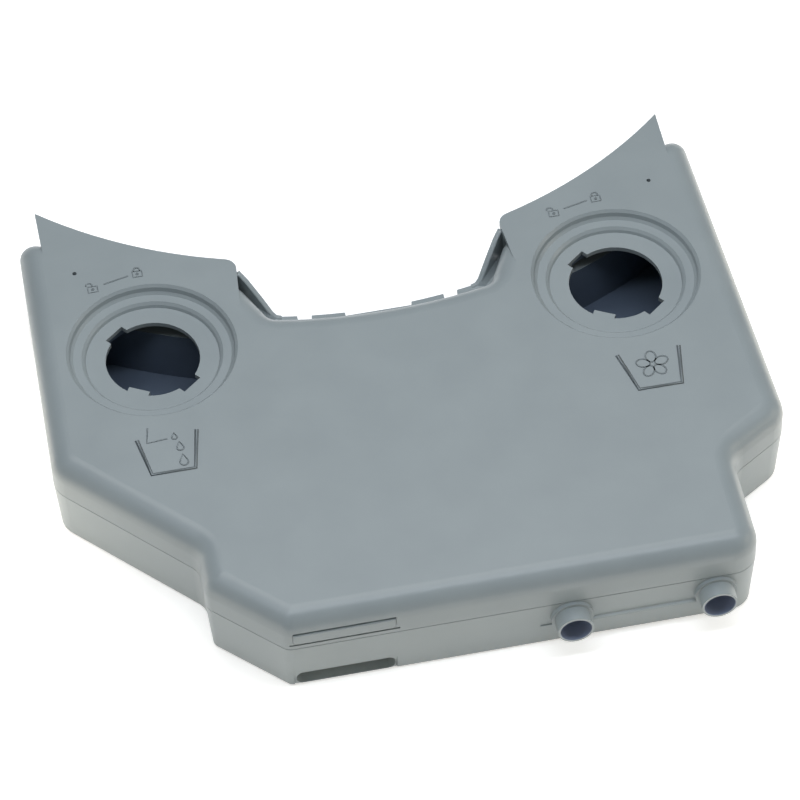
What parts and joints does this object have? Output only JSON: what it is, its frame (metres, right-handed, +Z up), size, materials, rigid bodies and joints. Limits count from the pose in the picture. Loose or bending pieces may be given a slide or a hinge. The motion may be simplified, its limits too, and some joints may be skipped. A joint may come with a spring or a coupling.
{
  "type": "washing machine dosing tank",
  "caption": "Flat hollow dosing tank with detergent and softener compartments, sunken bayonet fillers, valved outlet spigots and a rear edge curved to clear a round door ring.",
  "frame": {"origin": "on the underside, on the centre plane of the door ring, on the line between the two filler axes", "axes": "+X to the right with the outlets towards the viewer, +Y back towards the door ring, +Z up"},
  "size_m": [0.3266, 0.2657, 0.0485],
  "materials": {
    "tank_plastic": "fine matte grain",
    "valve_plastic": "smooth matte",
    "seal_rubber": "matte",
    "spring_steel": "flat drawn wire"
  },
  "bodies": {
    "tank": {"upper_shell": "tank_plastic", "lower_shell": "tank_plastic", "detergent_valve_cage": "valve_plastic", "detergent_valve_spring": "spring_steel", "softener_valve_cage": "valve_plastic", "softener_valve_spring": "spring_steel"},
    "detergent_valve": {"detergent_valve_stem": "valve_plastic", "detergent_valve_seal": "seal_rubber"},
    "softener_valve": {"softener_valve_stem": "valve_plastic", "softener_valve_seal": "seal_rubber"}
  },
  "joints": [
    {"name": "detergent_valve_slide", "type": "slide", "parent": "tank", "child": "detergent_valve", "axis": [0, 1, 0], "range_m": [0, 0.004], "stiffness_N_per_m": 510, "springref_m": -0.0055, "deforming": ["detergent_valve_spring"]},
    {"name": "softener_valve_slide", "type": "slide", "parent": "tank", "child": "softener_valve", "axis": [0, 1, 0], "range_m": [0, 0.004], "stiffness_N_per_m": 510, "springref_m": -0.0055, "deforming": ["softener_valve_spring"]}
  ]
}
